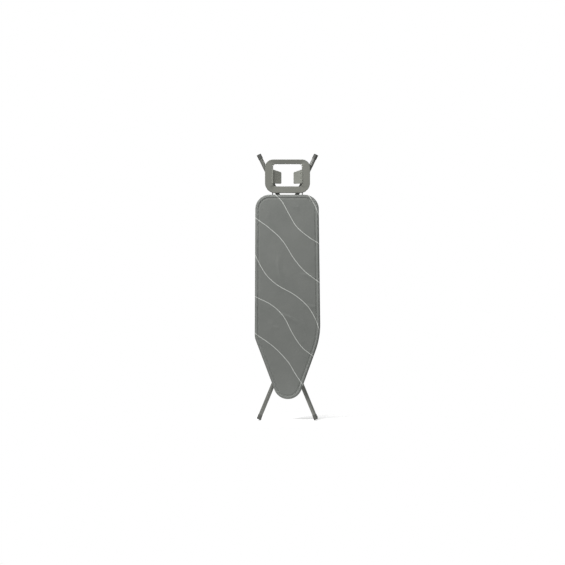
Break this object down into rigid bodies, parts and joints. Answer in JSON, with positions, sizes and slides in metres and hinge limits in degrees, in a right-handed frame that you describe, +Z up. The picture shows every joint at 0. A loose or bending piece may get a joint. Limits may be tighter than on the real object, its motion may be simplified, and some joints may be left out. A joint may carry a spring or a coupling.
{
  "type": "ironing board",
  "caption": "Folding ironing board with a padded cloth-covered deck, scissor legs on a sliding carriage, a height rack with squeeze release, and a pull-out iron rest.",
  "frame": {"origin": "on the floor, under the middle of the folded board's bounding box", "axes": "+Z up along the folded board from its lower feet to its upper feet, +Y from the ironing face to the legs, +X to the right of a viewer who faces the ironing face"},
  "size_m": [0.387, 0.0684, 1.581],
  "materials": {
    "cover_cloth": "woven cotton, matt",
    "padding": "needled felt",
    "deck_steel": "powder coat, satin",
    "zinc_steel": "zinc plated",
    "bright_steel": "bright",
    "leg_paint": "powder coat, satin",
    "foot_rubber": "moulded, matt",
    "black_plastic": "moulded",
    "rest_plastic": "fine-grained moulding"
  },
  "bodies": {
    "deck": {"cover": "cover_cloth", "pad": "padding", "deck_panel": "deck_steel", "deck_rim": "deck_steel", "nose_brace": "deck_steel", "mid_brace": "deck_steel", "rail_brace": "deck_steel", "tail_brace": "deck_steel", "rail_left": "deck_steel", "rail_right": "deck_steel", "height_rack": "zinc_steel", "leg_pivot_bracket": "zinc_steel", "leg_pivot_pin": "bright_steel", "pivot_washers": "bright_steel", "rest_sleeve_left": "deck_steel", "rest_sleeve_right": "deck_steel", "bar_bracket_nose": "deck_steel", "bar_bracket_tail": "deck_steel", "bar_spring": "bright_steel", "leg_clips": "zinc_steel", "panel_rivets": "zinc_steel"},
    "inner_legs": {"inner_leg_left": "leg_paint", "inner_leg_right": "leg_paint", "inner_leg_crossbar": "leg_paint", "inner_leg_straps": "leg_paint", "upper_foot_left": "foot_rubber", "upper_foot_right": "foot_rubber", "inner_leg_plugs": "black_plastic", "scissor_bolt": "bright_steel", "scissor_nut": "bright_steel", "scissor_spacers": "bright_steel"},
    "outer_legs": {"outer_leg_left": "leg_paint", "outer_leg_right": "leg_paint", "outer_leg_crossbar": "leg_paint", "lower_foot_left": "foot_rubber", "lower_foot_right": "foot_rubber", "outer_leg_plugs": "black_plastic"},
    "carriage": {"carriage_bridge": "zinc_steel", "carriage_side_left": "zinc_steel", "carriage_side_right": "zinc_steel", "carriage_pins": "bright_steel", "pin_clips": "bright_steel", "glide_shoe_left": "black_plastic", "glide_shoe_right": "black_plastic", "pawl_pin": "bright_steel"},
    "pawl": {"height_pawl": "zinc_steel"},
    "release_lever": {"release_bar": "leg_paint", "release_flap": "leg_paint", "release_handle": "black_plastic"},
    "iron_rest": {"rest_frame": "rest_plastic", "rest_wing_left": "rest_plastic", "rest_wing_right": "rest_plastic", "rest_rod_left": "leg_paint", "rest_rod_right": "leg_paint", "rest_screws": "bright_steel"}
  },
  "joints": [
    {"name": "leg_fold", "type": "hinge", "parent": "deck", "child": "inner_legs", "pos_m": [0, 0.02075, 0.329], "axis": [-1, 0, 0], "range_deg": [0, 47]},
    {"name": "scissor_pivot", "type": "hinge", "parent": "inner_legs", "child": "outer_legs", "pos_m": [0, 0.02075, 0.788], "axis": [1, 0, 0], "range_deg": [0, 94]},
    {"name": "carriage_pivot", "type": "hinge", "parent": "outer_legs", "child": "carriage", "pos_m": [0, 0.02075, 1.247], "axis": [-1, 0, 0], "range_deg": [0, 47]},
    {"name": "release_lever", "type": "hinge", "parent": "deck", "child": "release_lever", "pos_m": [0.0285, 0.00375, 1.12], "axis": [0, 0, 1], "range_deg": [0, 10], "stiffness_Nm_per_rad": 1.5, "springref_deg": -5.73},
    {"name": "pawl", "type": "hinge", "parent": "carriage", "child": "pawl", "pos_m": [0.0105, -0.00725, 1.247], "axis": [1, 0, 0], "range_deg": [0, 10]},
    {"name": "iron_rest_slide", "type": "slide", "parent": "deck", "child": "iron_rest", "axis": [0, 0, 1], "range_m": [0, 0.07]}
  ],
  "couplings": [
    {"joint": "scissor_pivot", "follows": "leg_fold", "ratio": 2},
    {"joint": "carriage_pivot", "follows": "leg_fold", "ratio": 1},
    {"joint": "pawl", "follows": "release_lever", "ratio": 1}
  ]
}
